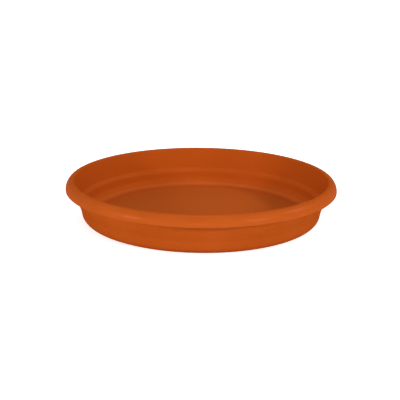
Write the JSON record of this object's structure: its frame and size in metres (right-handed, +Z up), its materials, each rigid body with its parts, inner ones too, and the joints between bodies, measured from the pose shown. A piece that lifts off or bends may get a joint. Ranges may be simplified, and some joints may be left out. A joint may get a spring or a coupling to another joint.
{
  "type": "plant saucer",
  "caption": "Round shallow plastic saucer for a plant pot, with a hollow rolled rim, a small ledge halfway up the inside wall and a low foot ring.",
  "frame": {"origin": "centre of the plane that the saucer stands on, at the bottom of the foot ring", "axes": "+Z up, along the axis of symmetry, out of the open mouth; X and Y are alike, since the saucer is round"},
  "size_m": [0.3, 0.3, 0.045],
  "materials": {
    "terracotta_plastic": "satin"
  },
  "bodies": {
    "root": {"saucer": "terracotta_plastic"}
  },
  "joints": []
}
